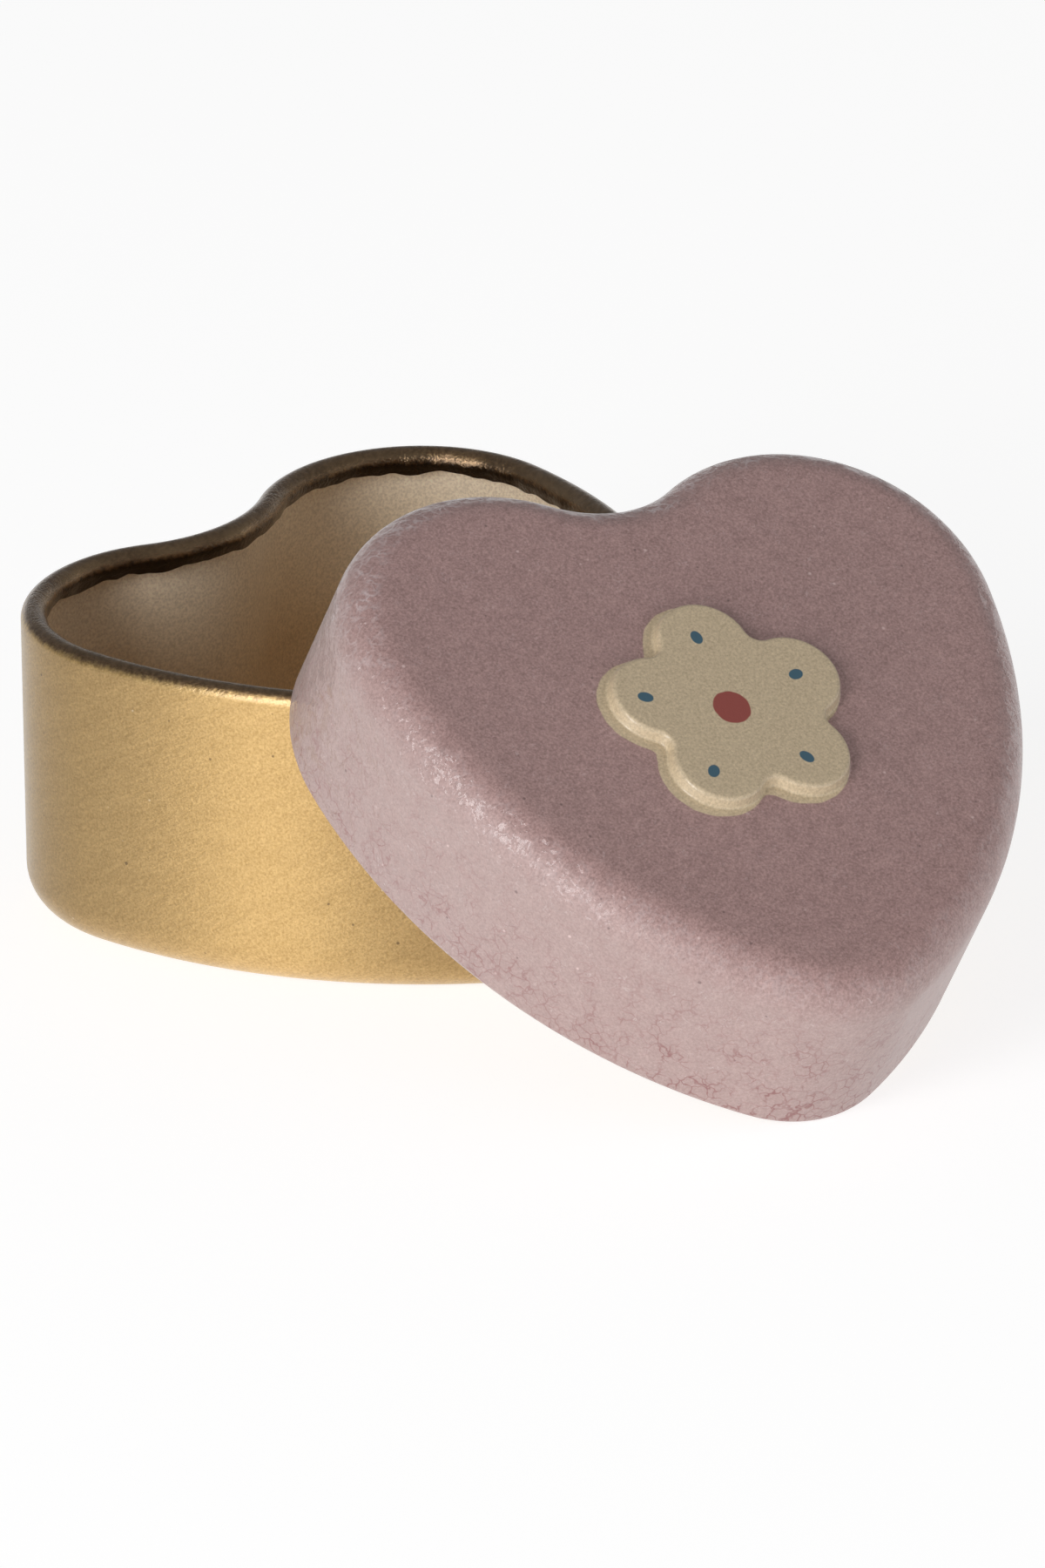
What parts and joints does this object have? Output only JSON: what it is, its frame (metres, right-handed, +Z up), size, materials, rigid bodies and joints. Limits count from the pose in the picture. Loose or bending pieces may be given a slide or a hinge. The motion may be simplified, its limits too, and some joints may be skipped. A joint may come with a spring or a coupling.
{
  "type": "keepsake tin",
  "caption": "Small heart-shaped keepsake tin for baby teeth, shown open: an upright drawn cup with a curled rim, and a slip lid with an embossed blossom leaning on it.",
  "frame": {"origin": "centre of the base's flat underside, midway between the line through the two lobe centres and the tip's centre", "axes": "+Z up, +Y from the base's tip to the notch between its lobes, +X to the right"},
  "size_m": [0.0536, 0.0805, 0.0382],
  "materials": {
    "gold_lacquer": "gold satin lacquer on drawn tinplate, cream lacquer inside",
    "mauve_lacquer": "mauve lacquer with a fine pebbled surface on drawn tinplate"
  },
  "bodies": {
    "base": {"base": "gold_lacquer"},
    "lid": {"lid": "mauve_lacquer"}
  },
  "joints": [
    {"name": "lid_lift", "type": "slide", "parent": "base", "child": "lid", "axis": [0, 0, 1], "range_m": [0, 0.03]}
  ]
}
